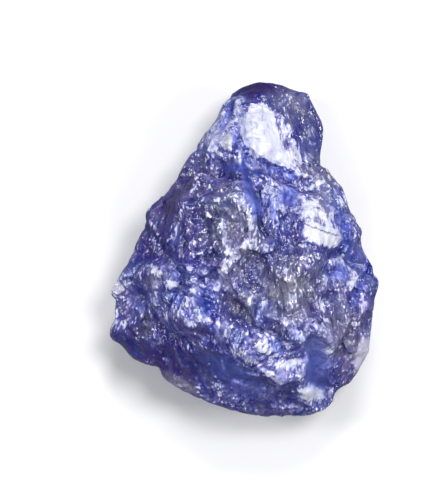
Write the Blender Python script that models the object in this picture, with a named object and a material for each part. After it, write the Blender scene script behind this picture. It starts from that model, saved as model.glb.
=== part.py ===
# Rough blue sapphire: one uncut crystal, lying on the flat parting face at its back.
# Metres, +Z up. The best face looks up, and the narrow cap of the stone points along +Y.
# The origin is on the surface that the stone rests on, under the middle of its box.

import math

import bmesh
import bpy
import numpy as np
from mathutils import Vector, noise

MM = 0.001

# Driving dimensions, in millimetres
GIRDLE_HEIGHT = 4.3
DOME_HEIGHT = 10.5
CENTRE = (0.3, -1.0)
MOST_TRIANGLES = 10200
SHORTEST_EDGE = 0.04
NOISE_SEED = 5

# How round the body is: 2 is an ellipsoid, more is boxier
TOP_ROUNDNESS = 2.35
BACK_ROUNDNESS = 2.0
EDGE_CRISPNESS = 14.0
# The back would reach this far under the girdle, but the parting face cuts it off
BACK_DEPTH = 5.7

# Outline seen from above, clockwise from the top of the cap
OUTLINE = [
    (1.2, 11.15), (2.6, 10.95), (3.6, 10.6), (4.3, 10.15), (5.05, 8.8), (5.35, 8.1),
    (5.3, 7.0), (5.2, 5.9), (5.6, 5.35), (6.1, 4.65), (6.6, 4.05), (6.85, 3.3),
    (7.1, 2.55), (7.75, 1.1), (7.9, 0.1), (8.35, -0.8), (8.95, -1.8), (8.9, -2.6),
    (8.65, -3.6), (8.65, -4.5), (8.4, -6.4), (8.15, -7.2), (7.25, -8.8), (6.25, -9.45),
    (5.8, -10.2), (4.9, -10.85), (3.1, -11.15), (0.8, -11.1), (-1.3, -10.6), (-3.0, -10.0),
    (-4.6, -9.2), (-5.4, -8.55), (-5.75, -7.95), (-6.4, -7.8), (-7.4, -7.35), (-8.2, -6.5),
    (-8.85, -6.05), (-9.0, -5.45), (-8.75, -4.5), (-8.65, -3.45), (-8.95, -2.85), (-8.65, -2.25),
    (-7.85, -1.0), (-7.4, -0.25), (-7.05, 0.6), (-6.6, 1.65), (-6.25, 2.6), (-5.5, 3.35),
    (-4.45, 4.85), (-3.8, 6.05), (-2.4, 8.1), (-1.8, 8.9), (-1.55, 9.6), (-1.0, 10.2),
    (-0.1, 10.9),
]

# Broad fracture faces: compass angle of the way each one looks (0 is +X, 90 is +Y),
# its tilt away from straight up, and its distance from the middle of the stone
FACES = {
    "lower_left": (226, 50, 7.75),
    "foot": (262, 54, 8.35),
    "lower_right": (312, 43, 7.9),
    "right_flank": (6, 58, 7.5),
    "right_shoulder": (42, 44, 7.0),
    "cap_right": (58, 58, 9.2),
    "cap_front": (88, 17, 7.75),
    "cap_top": (84, 62, 10.9),
    "cap_left": (132, 50, 7.3),
    "left_slope": (158, 42, 6.4),
    "left_flank": (188, 60, 8.1),
    "back_left": (150, 128, 5.7),
    "back_right": (20, 131, 6.0),
    "back_foot": (265, 126, 7.3),
}

# Lumps: x, y, long and short radius, angle of the long one, height
LUMPS = {
    "left_dome": (-2.7, 1.9, 3.4, 2.9, 120, 0.75),
    "right_lobe": (5.0, 1.7, 2.9, 2.2, 105, 0.6),
    "cap_dome": (1.4, 8.1, 2.5, 2.1, 110, 0.75),
    "cap_left_knob": (-1.4, 6.7, 1.7, 1.2, 60, 0.45),
    "cap_right_rib": (4.4, 7.7, 2.2, 0.8, 100, 0.3),
    "shoulder": (4.9, 4.9, 1.9, 0.8, 150, 0.25),
    "cap_corner": (4.8, 5.6, 1.1, 0.8, 120, 0.35),
    "middle_ridge": (0.4, 2.0, 2.1, 0.65, 108, 0.55),
    "lower_ridge": (-1.2, -1.2, 1.6, 0.6, 62, 0.45),
    "middle_mass": (3.1, -3.7, 3.0, 2.3, 100, 0.65),
    "lower_lump": (0.6, -6.9, 2.6, 1.2, 145, 0.6),
    "foot_lump": (3.0, -7.8, 1.3, 1.0, 20, 0.45),
    "left_knuckle": (-5.8, -2.0, 1.9, 1.2, 100, 0.5),
    "left_toe": (-3.8, -4.0, 1.9, 1.1, 150, 0.5),
    "middle_toe": (-2.4, -4.8, 1.3, 0.8, 170, 0.35),
    "right_rim": (8.2, -2.9, 1.7, 0.6, 80, 0.35),
    "left_knob": (-8.3, -2.8, 0.6, 0.5, 90, 0.3),
    "left_corner": (-8.2, -5.3, 1.0, 0.7, 110, 0.35),
}

# Grooves and ledges: points along the floor, width, depth
GROOVES = {
    "under_cap": ([(-1.6, 5.6), (0.1, 5.9), (1.4, 5.6), (2.8, 5.1), (4.2, 4.1)], 0.85, 0.75),
    "left_ledge": ([(-4.6, 4.9), (-3.0, 5.0), (-1.4, 4.9), (0.0, 4.6)], 0.5, 0.4),
    "middle_gully": ([(0.3, 5.3), (0.6, 3.9), (1.3, 2.5), (1.5, 0.9)], 0.65, 0.55),
    "lobe_left": ([(3.3, 3.6), (3.0, 2.0), (3.7, 0.4)], 0.6, 0.4),
    "lobe_right": ([(6.4, 3.0), (6.7, 1.6), (6.6, 0.2), (5.6, -0.4)], 0.55, 0.45),
    "right_gully": ([(8.4, -1.4), (7.6, -2.5), (7.1, -3.7)], 0.6, 0.35),
    "lump_gap": ([(-4.9, -0.6), (-4.4, -2.2), (-5.0, -3.7)], 0.6, 0.35),
    "toe_gap": ([(-1.0, -3.2), (-0.2, -4.2), (0.6, -5.4), (2.2, -5.9)], 0.6, 0.5),
    "foot_gully": ([(4.2, -5.9), (4.7, -7.6), (5.0, -9.6)], 0.8, 0.5),
    "left_fold": ([(-6.8, -3.0), (-6.5, -4.4), (-5.2, -5.6), (-3.2, -6.2)], 0.6, 0.35),
}

# Pits: x, y, radius, depth
PITS = {
    "dark_pit": (-0.4, -4.2, 0.75, 0.4),
    "upper_pit": (0.6, -2.8, 0.6, 0.25),
    "dome_pit": (-2.1, 1.2, 0.7, 0.18),
    "side_pit": (-2.6, -3.5, 0.7, 0.2),
    "lobe_pit": (6.5, -1.6, 0.6, 0.3),
    "right_pit": (6.4, -7.0, 0.8, 0.25),
}

# Ovals where the fracture is smooth: x, y, radii and angle, and the share of the chips left
SMOOTH_AREAS = {
    "frosty_cap": (1.4, 7.9, 2.6, 1.9, 115, 0.35),
    "frosty_lobe": (5.0, 1.8, 2.2, 1.4, 110, 0.45),
    "lower_left_slope": (-4.2, -6.6, 5.2, 2.3, 150, 0.4),
    "foot_window": (4.9, -8.2, 2.0, 0.9, 95, 0.35),
    "right_slope": (7.0, -4.4, 3.2, 1.0, 95, 0.6),
}

# Scooped fracture chips: spacing, depth at the rim, tilt, how many seeds per square millimetre
CHIPS = [
    {"spacing": 3.2, "depth": 0.24, "tilt": 0.14, "seed": 11},
    {"spacing": 1.5, "depth": 0.15, "tilt": 0.17, "seed": 12},
]
SKIN_AREA = 950.0
SWELL = {"size": 4.5, "height": 0.35}


# Shape helpers

def rounded(points, steps=10):
    """Points along a closed Catmull-Rom curve through the given ones."""
    p = np.array(points, float)
    t = np.linspace(0, 1, steps, endpoint=False)[:, None]
    made = []
    for i in range(len(p)):
        a, b, c, d = (p[(i + k) % len(p)] for k in (-1, 0, 1, 2))
        made.append(0.5 * (2 * b + (c - a) * t + (2 * a - 5 * b + 4 * c - d) * t**2
                           + (3 * b - a - 3 * c + d) * t**3))
    return np.concatenate(made)


def outline_radius():
    """Distance from CENTRE to the outline, for each degree of the compass."""
    curve = rounded(OUTLINE) - np.array(CENTRE)
    angle = np.degrees(np.arctan2(curve[:, 1], curve[:, 0])) % 360
    order = np.argsort(angle)
    return np.interp(np.arange(360), angle[order], np.hypot(*curve[order].T), period=360)


def smoothed(values, reach):
    """A running mean round the compass, reach degrees to each side."""
    ring = np.concatenate([values[-reach:], values, values[:reach]])
    window = np.hanning(2 * reach + 1)
    return np.convolve(ring, window / window.sum(), mode="valid")


def ease(x):
    x = np.clip(x, 0, 1)
    return x * x * (3 - 2 * x)


def body_points(direction):
    """The plain body: a dome and a back on the outline, cut by the broad fracture faces."""
    across = np.hypot(direction[:, 0], direction[:, 1])
    compass = np.degrees(np.arctan2(direction[:, 1], direction[:, 0])) % 360
    rim = outline_radius()
    broad = smoothed(rim, 14)
    degrees = np.arange(361)
    sharp = ease((across - 0.72) / 0.26)
    radius = (sharp * np.interp(compass, degrees, np.append(rim, rim[0]))
              + (1 - sharp) * np.interp(compass, degrees, np.append(broad, broad[0])))
    up = direction[:, 2] > 0
    power = np.where(up, TOP_ROUNDNESS, BACK_ROUNDNESS)
    reach = np.where(up, DOME_HEIGHT - GIRDLE_HEIGHT, BACK_DEPTH)
    length = ((across / radius)**power + (np.abs(direction[:, 2]) / reach)**power)**(-1 / power)
    squeeze = length**-EDGE_CRISPNESS
    for turn, tilt, distance in FACES.values():
        a, b = math.radians(turn), math.radians(tilt)
        looks = np.array([math.cos(a) * math.sin(b), math.sin(a) * math.sin(b), math.cos(b)])
        squeeze += (np.clip(direction @ looks, 0.02, 1) / distance)**EDGE_CRISPNESS
    length = squeeze**(-1 / EDGE_CRISPNESS)
    return direction * length[:, None] + np.array([*CENTRE, GIRDLE_HEIGHT])


def oval(p, x, y, long_radius, short_radius, turn):
    """0 at the middle of an oval seen from above, 1 on its edge."""
    a = math.radians(turn)
    dx, dy = p[:, 0] - x, p[:, 1] - y
    along, over = dx * math.cos(a) + dy * math.sin(a), dy * math.cos(a) - dx * math.sin(a)
    return np.hypot(along / long_radius, over / short_radius)


def line_distance(p, points):
    """Distance seen from above to a chain of straight runs."""
    nearest = np.full(len(p), 1e9)
    for (ax, ay), (bx, by) in zip(points, points[1:]):
        dx, dy = bx - ax, by - ay
        t = np.clip(((p[:, 0] - ax) * dx + (p[:, 1] - ay) * dy) / (dx * dx + dy * dy), 0, 1)
        nearest = np.minimum(nearest, np.hypot(p[:, 0] - ax - t * dx, p[:, 1] - ay - t * dy))
    return nearest


def wander(p, size, amount, shift=0.0):
    """The points moved about by smooth noise, so that no edge runs straight."""
    offset = Vector((shift, 2 * shift, 3 * shift))
    moved = [noise.noise_vector(Vector(q) / size + offset) for q in p]
    return p + amount * np.array(moved)


def named_relief(p):
    """Height of the lumps, grooves and pits of the upper side."""
    q = wander(p, 1.6, 0.45)
    height = np.zeros(len(p))
    for x, y, long_radius, short_radius, turn, rise in LUMPS.values():
        height += rise * ease(1.25 - oval(q, x, y, long_radius, short_radius, turn))
    for points, width, depth in GROOVES.values():
        height -= depth * ease(1 - line_distance(q, points) / width)
    for x, y, radius, depth in PITS.values():
        height -= depth * ease(1.2 - oval(q, x, y, radius, radius, 0))
    return height


def chip_relief(p, spacing, depth, tilt, seed):
    """Scooped chips: each point takes the lowest of the tilted bowls round it."""
    pick = np.random.default_rng(seed)
    toward = pick.normal(size=(8 * int(SKIN_AREA / spacing**2), 3))
    middles = body_points(toward / np.linalg.norm(toward, axis=1)[:, None])
    reach = np.linalg.norm(middles - np.array([*CENTRE, GIRDLE_HEIGHT]), axis=1)
    middles = middles[pick.random(len(middles)) < (reach / 20)**2]
    lean = pick.normal(0, tilt, middles.shape)
    sink = pick.uniform(0, depth, len(middles))
    bowl = depth / (spacing / 2)**2
    height = np.full(len(p), 1e9)
    q = wander(p, spacing * 0.8, spacing * 0.22, seed)
    for middle, slope, low in zip(middles, lean, sink):
        away = q - middle
        far = (away**2).sum(1)
        near = far < (2.2 * spacing)**2
        height[near] = np.minimum(height[near], away[near] @ slope + bowl * far[near] - low)
    return np.clip(height, -2 * depth, 2 * depth)


def chip_share(p, normal):
    """How much of the chips is left: less at the rim and in the smooth areas."""
    share = 0.45 + 0.55 * ease(np.abs(normal[:, 2]) / 0.4)
    for x, y, long_radius, short_radius, turn, left in SMOOTH_AREAS.values():
        inside = ease(1.5 - oval(p, x, y, long_radius, short_radius, turn))
        share *= 1 - (1 - left) * np.where(normal[:, 2] > 0, inside, 0)
    return share


def drawn_to_outline(p):
    """The rim moved in or out until the stone, seen from above, just fills its outline."""
    away = p[:, :2] - np.array(CENTRE)
    far = np.hypot(away[:, 0], away[:, 1])
    compass = np.degrees(np.arctan2(away[:, 1], away[:, 0])) % 360
    rim = outline_radius()
    turned = [np.abs((compass - degree + 180) % 360 - 180) for degree in range(360)]
    widest = smoothed(np.array([far[gap < 1.2].max() for gap in turned]), 2)
    share = np.interp(compass, np.arange(360), rim / widest, period=360)
    close = ease((far / np.interp(compass, np.arange(360), rim, period=360) - 0.5) / 0.45)
    moved = p.copy()
    moved[:, :2] += away * ((share - 1) * close)[:, None]
    return moved


# The stone

def vertex_array(mesh, name="co"):
    values = np.empty(len(mesh.vertices) * 3)
    source = mesh.vertices if name == "co" else mesh.vertex_normals
    source.foreach_get("co" if name == "co" else "vector", values)
    return values.reshape(-1, 3)


def set_points(mesh, points):
    mesh.vertices.foreach_set("co", points.ravel())
    mesh.update()


def stone_material():
    made = bpy.data.materials.new("rough_sapphire")
    made.use_nodes = True
    shader = made.node_tree.nodes["Principled BSDF"]
    shader.inputs["Base Color"].default_value = (0.045, 0.05, 0.3, 1)
    shader.inputs["Roughness"].default_value = 0.22
    shader.inputs["Metallic"].default_value = 0.0
    shader.inputs["IOR"].default_value = 1.77
    shader.inputs["Transmission Weight"].default_value = 0.3
    return made


def carved_ball():
    """A fine ball pushed out to the stone's shape, in millimetres."""
    ball = bmesh.new()
    bmesh.ops.create_icosphere(ball, subdivisions=7, radius=1)
    mesh = bpy.data.meshes.new("carving")
    ball.to_mesh(mesh)
    ball.free()
    set_points(mesh, body_points(vertex_array(mesh)))

    p, n = vertex_array(mesh), vertex_array(mesh, "normals")
    swell = np.array([noise.fractal(Vector(q) / SWELL["size"], 1.0, 2.0, 3) for q in p])
    relief = named_relief(p) * ease(n[:, 2] / 0.35)
    relief += SWELL["height"] * swell * (0.25 + 0.75 * np.abs(n[:, 2]))
    for chip in CHIPS:
        relief += chip_relief(p, **chip) * chip_share(p, n)
    p += n * relief[:, None]
    set_points(mesh, drawn_to_outline(p))
    return mesh


def rough_stone():
    stone = bpy.data.objects.new("carving", carved_ball())
    bpy.context.scene.collection.objects.link(stone)
    thin = stone.modifiers.new("fewer_faces", "DECIMATE")
    thin.ratio = MOST_TRIANGLES / len(stone.data.polygons)
    bpy.context.view_layer.update()
    graph = bpy.context.evaluated_depsgraph_get()
    mesh = bpy.data.meshes.new_from_object(stone.evaluated_get(graph))
    bpy.data.objects.remove(stone)

    # The parting face at the back, square to Z
    cut = bmesh.new()
    cut.from_mesh(mesh)
    everything = cut.verts[:] + cut.edges[:] + cut.faces[:]
    bmesh.ops.bisect_plane(cut, geom=everything, plane_co=(0, 0, 0), plane_no=(0, 0, -1),
                           clear_outer=True)
    rim_points = [vert for vert in cut.verts if vert.is_boundary]
    bmesh.ops.remove_doubles(cut, verts=rim_points, dist=SHORTEST_EDGE)
    rim = [edge for edge in cut.edges if edge.is_boundary]
    bmesh.ops.triangle_fill(cut, use_beauty=True, edges=rim, normal=(0, 0, -1))
    xs, ys = [v.co.x for v in cut.verts], [v.co.y for v in cut.verts]
    middle = Vector(((min(xs) + max(xs)) / 2, (min(ys) + max(ys)) / 2, 0))
    bmesh.ops.translate(cut, verts=cut.verts, vec=-middle)
    bmesh.ops.scale(cut, verts=cut.verts, vec=(MM, MM, MM))
    bmesh.ops.recalc_face_normals(cut, faces=cut.faces)
    cut.to_mesh(mesh)
    cut.free()
    mesh.name = "sapphire"
    mesh.materials.clear()
    mesh.materials.append(stone_material())
    return bpy.data.objects.new("sapphire", mesh)


def main():
    noise.seed_set(NOISE_SEED)
    for old in list(bpy.data.objects):
        bpy.data.objects.remove(old)
    collection = bpy.data.collections.new("rough_blue_sapphire")
    bpy.context.scene.collection.children.link(collection)
    collection.objects.link(rough_stone())


main()
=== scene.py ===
import itertools
import math

import bmesh
import bpy
import numpy as np
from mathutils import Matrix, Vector, noise


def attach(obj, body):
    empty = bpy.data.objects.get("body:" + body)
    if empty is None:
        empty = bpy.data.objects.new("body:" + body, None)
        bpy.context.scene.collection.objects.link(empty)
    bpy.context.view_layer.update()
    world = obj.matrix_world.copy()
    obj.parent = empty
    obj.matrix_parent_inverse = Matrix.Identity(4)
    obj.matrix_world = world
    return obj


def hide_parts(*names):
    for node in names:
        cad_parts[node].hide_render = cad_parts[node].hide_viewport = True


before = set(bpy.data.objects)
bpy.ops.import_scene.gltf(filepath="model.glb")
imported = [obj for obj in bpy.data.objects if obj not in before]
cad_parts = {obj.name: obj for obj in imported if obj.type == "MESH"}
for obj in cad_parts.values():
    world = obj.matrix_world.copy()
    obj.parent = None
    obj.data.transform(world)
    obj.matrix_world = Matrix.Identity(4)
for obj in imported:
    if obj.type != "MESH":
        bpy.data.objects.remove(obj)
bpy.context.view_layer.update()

mm = 0.001
noise.seed_set(4)


# camera straight above, in the scale of the photo: 15 px to a mm at the stone's widest level
cameraSetup = {
    "lensHeight": 300 * mm,
    "widestLevel": 4.3 * mm,
    "aim": (-2.17 * mm, -0.07 * mm),
    "pictureTall": 33.33 * mm,
    "sensor": 36,             # mm
    "clip": (0.01, 5),        # metres
}


def placeCamera():
    data = bpy.data.cameras.new("camera")
    distance = cameraSetup["lensHeight"] - cameraSetup["widestLevel"]
    data.sensor_width = cameraSetup["sensor"]
    data.lens = data.sensor_width * distance / cameraSetup["pictureTall"]
    data.clip_start, data.clip_end = cameraSetup["clip"]
    camera = bpy.data.objects.new("camera", data)
    camera.location = (*cameraSetup["aim"], cameraSetup["lensHeight"])
    bpy.context.scene.collection.objects.link(camera)
    bpy.context.scene.camera = camera
    print("camera in place")


# lights, in metres: a wide soft box over the stone, and small bright ones that make facets glint
lightBoxes = {
    "overhead": {"from": (-0.04, 0.10, 0.50), "size": 0.34, "radiance": 0.7},
    "capEnd": {"from": (0.04, 0.32, 0.38), "size": 0.12, "radiance": 20},
    "left": {"from": (-0.34, 0.06, 0.34), "size": 0.10, "radiance": 21},
    "right": {"from": (0.36, -0.02, 0.32), "size": 0.10, "radiance": 21},
    "front": {"from": (0.02, -0.36, 0.34), "size": 0.10, "radiance": 10},
    "nearTop": {"from": (0.14, 0.12, 0.46), "size": 0.125, "radiance": 22},
}
surround = {"color": (0.98, 0.99, 1.0), "strength": 0.16}


def placeLights():
    for name, box in lightBoxes.items():
        lamp = bpy.data.lights.new(name, "AREA")
        lamp.size = box["size"]
        lamp.energy = box["radiance"] * math.pi * box["size"]**2
        holder = bpy.data.objects.new(name, lamp)
        holder.location = box["from"]
        holder.rotation_mode = "QUATERNION"
        holder.rotation_quaternion = (-Vector(box["from"])).to_track_quat("-Z", "Y")
        bpy.context.scene.collection.objects.link(holder)
    world = bpy.data.worlds.new("surround")
    world.use_nodes = True
    background = world.node_tree.nodes["Background"]
    background.inputs["Color"].default_value = (*surround["color"], 1)
    background.inputs["Strength"].default_value = surround["strength"]
    bpy.context.scene.world = world
    bpy.context.scene.view_settings.view_transform = "Standard"
    print("lights in place")


# pale floor, just under the stone so that the two faces don't share a level
floorSetup = {"side": 2.4, "drop": 0.01 * mm, "color": (0.86, 0.86, 0.87), "roughness": 0.7}


def layFloor():
    bpy.ops.mesh.primitive_plane_add(size=floorSetup["side"], location=(0, 0, -floorSetup["drop"]))
    floor = bpy.context.object
    floor.name = "floor"
    paint = bpy.data.materials.new("paleFloor")
    paint.use_nodes = True
    shader = paint.node_tree.nodes["Principled BSDF"]
    shader.inputs["Base Color"].default_value = (*floorSetup["color"], 1)
    shader.inputs["Roughness"].default_value = floorSetup["roughness"]
    floor.data.materials.append(paint)
    # kept out of the reflections in the stone, which it would veil in grey
    floor.visible_glossy = False
    print("floor laid")


# the stone's own surface, worked in mm on a fine copy of the solid
stoneSurface = {
    "weldGap": 1e-4,
    "voxel": 0.085,
    "smoothPasses": 14,
    "smoothFactor": 0.5,
    "mostTriangles": 196000,
    "chips": {
        "scoops": {
            "size": 1.8, "curve": 0.13, "lean": 0.13, "stretch": 1.4, "turn": 100, "seed": 21,
        },
        "flakes": {
            "size": 0.8, "curve": 0.04, "lean": 0.17, "stretch": 1.7, "turn": 112, "seed": 22,
        },
        "grains": {
            "size": 0.38, "curve": 0.012, "lean": 0.16, "stretch": 1.7, "turn": 104, "seed": 23,
        },
    },
    "chipBend": {"size": 4.0, "amount": 0.9, "shift": 10},   # how the rows of chips wander
    "chipWarp": (0.8, 0.25),  # size and amount of the bends in their edges, in chip sizes
    "restFade": (0.0, 0.5),   # heights over which the chips grow to full depth
    "rimShare": 0.05,         # of their depth left where the surface stands upright
    "calmLoss": 0.9,          # of their depth lost on calm areas
    "calmSides": 0.30,        # how calm the upright sides are
    "calmWander": {"size": 1.5, "amount": 0.3, "shift": 5},
    "creaseDepth": 0.03,
    # how far the surface faces up, from -1 under the stone over 0 upright to 1 on top:
    # each pair says where a fade starts and where it is full
    "seen": (-0.15, 0.15),
    "upright": (0.55, 0.20),
    "lying": (0.15, 0.75),
    "open": (0.1, 0.6),
    # how the edges of the placed areas wander, widely and then finely
    "edgeWander": {"size": 0.9, "amount": 0.10, "shift": 9},
    "edgeWanderFine": {"size": 0.3, "amount": 0.05, "shift": 11},
    "levels": {"edge": 3, "raised": 24, "swell": 120},       # passes that even out each relief
    "litFrom": (-0.15, 0.95, 0.0),                           # direction of the painted light, from the cap's end
    "litPasses": 120,
    "frostCut": 0.7,          # of the frost lost in a window
    "sideGlints": 0.35,       # share of the painted glints left on the upright sides
}

# the placed areas, all seen from above, in mm
# ovals: x, y, long radius, short radius, angle in degrees, strength
# strokes: half width, strength, then the points that they run through
# shapes: strength, then the corners
# frosty haze, partly painted light, with more painted glints in it
hazeAndGlintPatches = {
    "capLeftWide": (-1.57, 7.6, 1.73, 0.93, 62, 1.3),
    "columnHaze": (-0.03, 2.73, 1.87, 0.53, 95, 0.6),
    "belowCapHaze": (2.43, 3.27, 2, 1.33, 150, 0.95),
    "rightHaze": (6.43, 2.6, 2, 0.8, 110, 0.6),
    "rightMidHaze": (6.77, -1.73, 1.73, 1.2, 90, 0.75),
    "centreHaze": (-0.9, -0.87, 2, 0.8, 60, 0.55),
    "greyHaze": (4.03, -2.6, 1.73, 0.8, 85, 0.35),
    "ridgeHaze": (1.77, -6.87, 2.27, 1.07, 150, 0.8),
    "leftEdgeHaze": (-8.1, -3.4, 1.87, 0.87, 90, 0.85),
    "footHaze": (5.03, -6.67, 1.33, 0.8, 95, 0.85),
    "footLowHaze": (4.63, -9.6, 1, 0.6, 0, 1.4),
    "leftMidHaze": (-3.7, -3.53, 2, 1.33, 20, 0.5),
    "grooveHaze": (-1.23, 5.6, 1.47, 0.67, 165, 0.5),
    "capFootHaze": (-1.9, 6.73, 1.33, 0.67, 60, 0.5),
    "capBesideHaze": (-0.17, 8.67, 1.33, 0.47, 102, 1.1),
    "capLeftHaze": (-1.63, 8.4, 1, 0.47, 70, 0.9),
    "capFarLeft": (-2.23, 6.67, 0.6, 0.53, 60, 0.62),
    "capSpot": (-0.1, 6.07, 0.4, 0.23, 110, 0.85),
    "capUpperHaze": (-0.97, 9.67, 0.4, 0.33, 60, 0.5),
    "capRightSpot": (4.17, 5.93, 0.33, 0.23, 120, 0.8),
    "underCapPatch": (2.63, 4.4, 0.53, 0.33, 150, 0.66),
    "underCapHaze": (3.57, 4.33, 0.6, 0.27, 10, 0.6),
    "underCapSpot": (0.97, 4.33, 0.53, 0.3, 75, 0.8),
    "underCapDot": (0.7, 5.53, 0.27, 0.2, 0, 0.6),
    "besideCapDot": (4.03, 4.07, 0.2, 0.13, 0, 0.8),
    "aboveLobeSpot": (6.23, 3.13, 0.4, 0.3, 70, 0.75),
    "domeTop": (-0.7, 3.6, 0.4, 0.23, 170, 0.85),
    "slopeSpecks": (-1.43, -9.27, 1.47, 0.33, 160, 0.6),
    "domeRight": (-0.1, 3.07, 0.27, 0.2, 140, 0.8),
    "domeUpper": (-1.83, 3.33, 0.47, 0.2, 110, 0.7),
    "domeFoil": (-3.83, 2.8, 0.6, 0.4, 130, 0.65),
    "domeFoilTwo": (-3.3, 1.53, 0.53, 0.33, 150, 0.7),
    "domeSpot": (-3.23, 3.47, 0.27, 0.2, 90, 0.6),
    "leftDot": (-6.43, 1.07, 0.2, 0.17, 60, 0.85),
    "leftHaze": (-5.97, 0.87, 0.6, 0.47, 100, 0.55),
    "leftPatch": (-6.03, -3.4, 0.6, 0.43, 110, 0.75),
    "leftPatchLow": (-5.37, -3.87, 0.33, 0.27, 150, 0.6),
    "leftFoil": (-6.03, -2.47, 0.4, 0.27, 0, 0.5),
    "knob": (-8.43, -2.73, 0.4, 0.27, 80, 1.8),
    "kneePatch": (-3.3, -2.27, 0.37, 0.29, 0, 0.9),
    "kneeDot": (-2.43, -2.53, 0.15, 0.13, 0, 0.95),
    "toeSpot": (-3.03, -4.6, 0.3, 0.27, 0, 0.9),
    "toeHaze": (-3.57, -5, 0.53, 0.27, 150, 0.58),
    "toeFoil": (-3.37, -6.2, 0.6, 0.33, 165, 0.5),
    "dullSpot": (-4.43, -5.73, 0.33, 0.15, 165, 0.5),
    "centreDot": (0.1, -1.13, 0.2, 0.27, 100, 0.75),
    "centreRight": (3.83, 0.27, 0.2, 0.4, 100, 0.75),
    "rightPatch": (6.57, -0.67, 0.47, 0.27, 100, 0.66),
    "rightPatchTwo": (7.43, -1.07, 0.53, 0.33, 110, 0.55),
    "farRightSpot": (8.03, -3.87, 0.33, 0.17, 80, 0.8),
    "lowRightDots": (7.7, -5.07, 0.33, 0.2, 80, 0.5),
    "greyFoil": (3.77, -3.87, 0.93, 0.47, 110, 0.6),
    "greyLow": (2.83, -4.87, 0.4, 0.27, 130, 0.75),
    "pitEdge": (-0.1, -2.93, 0.33, 0.27, 60, 0.6),
    "lowHaze": (-1.43, -5.27, 0.93, 0.47, 80, 0.42),
    "bottomLow": (3.7, -8.27, 0.33, 0.27, 80, 0.95),
    "bottomSpot": (2.3, -9.2, 0.33, 0.2, 90, 0.9),
    "lowStreakPatch": (2.83, -6.6, 0.47, 0.27, 130, 0.62),
    "lowRightPatch": (4.03, -6.27, 0.53, 0.3, 100, 0.62),
    "midLowPatch": (0.57, -5.53, 0.47, 0.33, 150, 0.6),
    "rightSmall": (5.5, -6.07, 0.27, 0.17, 60, 0.7),
    "capGrooveHaze": (-2.03, 5.13, 0.8, 0.27, 10, 0.35),
    "greySpots": (1.5, -2.4, 0.53, 0.53, 90, 0.42),
}
calmAreas = {
    "leftFlank": (-4.9, 3.07, 2.4, 0.73, 55, 0.55),
    "leftEdge": (-7.77, -3.4, 3.07, 1.13, 80, 0.45),
    "lowerLeft": (-4.9, -7.53, 4.13, 1.13, 155, 0.7),
    "lowerSlope": (-0.37, -8.6, 2.27, 1, 155, 0.78),
    "capRight": (4.5, 7, 1.33, 0.6, 95, 0.75),
    "capTop": (0.97, 10.6, 1.33, 0.47, 5, 0.7),
    "capFace": (1.5, 7.67, 2.27, 1.27, 112, 0.75),
    "lobeFace": (5.1, 1.93, 1.73, 1.13, 100, 0.8),
    "rightRim": (7.63, 0.47, 1.6, 0.53, 108, 0.3),
    "rightEdge": (8.43, -2.73, 1.73, 0.47, 95, 0.3),
    "footWindow": (4.83, -7.8, 2.27, 0.93, 95, 1),
    "windowUnderCap": (2.9, 3.53, 0.73, 0.6, 100, 0.6),
    "capGroove": (-0.23, 5.4, 2, 0.53, 175, 0.7),
    "blueStroke": (0.43, 3.93, 1.6, 0.4, 110, 0.85),
    "toePocket": (-2.5, -3.53, 0.93, 0.6, 80, 0.25),
    "slopeEdge": (-1.9, -7.4, 1.6, 0.6, 150, 0.8),
    "rightPocket": (6.43, -1.53, 0.6, 0.53, 0, 0.5),
    "pitTeal": (1.77, -4.27, 0.6, 0.53, 100, 0.5),
    "haze": (-1.43, -5.4, 1.07, 0.53, 80, 0.8),
    "domePocket": (-2.03, 1.33, 0.67, 0.47, 120, 0.8),
    "lowRightRim": (7.9, -7, 1.33, 0.47, 75, 0.85),
}
# darker, deeper colour: partly the body's own, partly painted shade on the cap's top, in the pit
# and hollows and on slopes turned from the light
deepAndShadedAreas = {
    "pit": (-0.37, -4.27, 0.87, 0.53, 90, 1),
    "pitTop": (0.9, -2.73, 0.47, 0.33, 20, 1),
    "capTop": (0.83, 10.73, 1.47, 0.47, 5, 1.9),
    "slope": (-5.43, -7, 3.33, 1.2, 155, 1.15),
    "slopeLow": (-2.9, -8.6, 2, 0.67, 155, 0.15),
    "capRight": (4.63, 8.07, 1.73, 0.67, 100, 0.4),
    "leftDark": (-4.77, 2.87, 1.33, 0.67, 60, 1.3),
    "domePocket": (-2.17, 1.33, 0.73, 0.6, 120, 1.4),
    "domeLeft": (-2.9, 2.33, 0.93, 1.2, 100, 0.8),
    "dome": (-2.7, 1.4, 2, 1.73, 100, 0.6),
    "leftEdge": (-7.7, -4.6, 1.6, 0.73, 95, 0.3),
    "leftUpper": (-5.03, 2.33, 3.33, 1.07, 56, 0.7),
    "middleGrey": (2.97, -2.4, 2.4, 1.73, 70, 0.45),
    "rightLow": (6.77, -5.73, 2.27, 1.47, 95, 0.1),
    "groove": (-0.5, 5.13, 1.73, 0.4, 175, 0.6),
    "middle": (1.23, 0.93, 0.67, 0.27, 90, 0.6),
    "lobeUnder": (5.77, -0.13, 1.07, 0.27, 170, 0.5),
    "lowRight": (6.1, -8.6, 0.93, 0.6, 60, 0.5),
    "pitTeal": (1.63, -4.2, 0.93, 0.8, 0, 0.5),
    "middleLow": (-1.9, -6.6, 0.8, 0.33, 170, 0.8),
    "toePocket": (-2.43, -3.4, 0.6, 0.6, 0, 0.7),
    "leftMid": (-7.23, -1.73, 0.8, 0.67, 60, 0.2),
}
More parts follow.
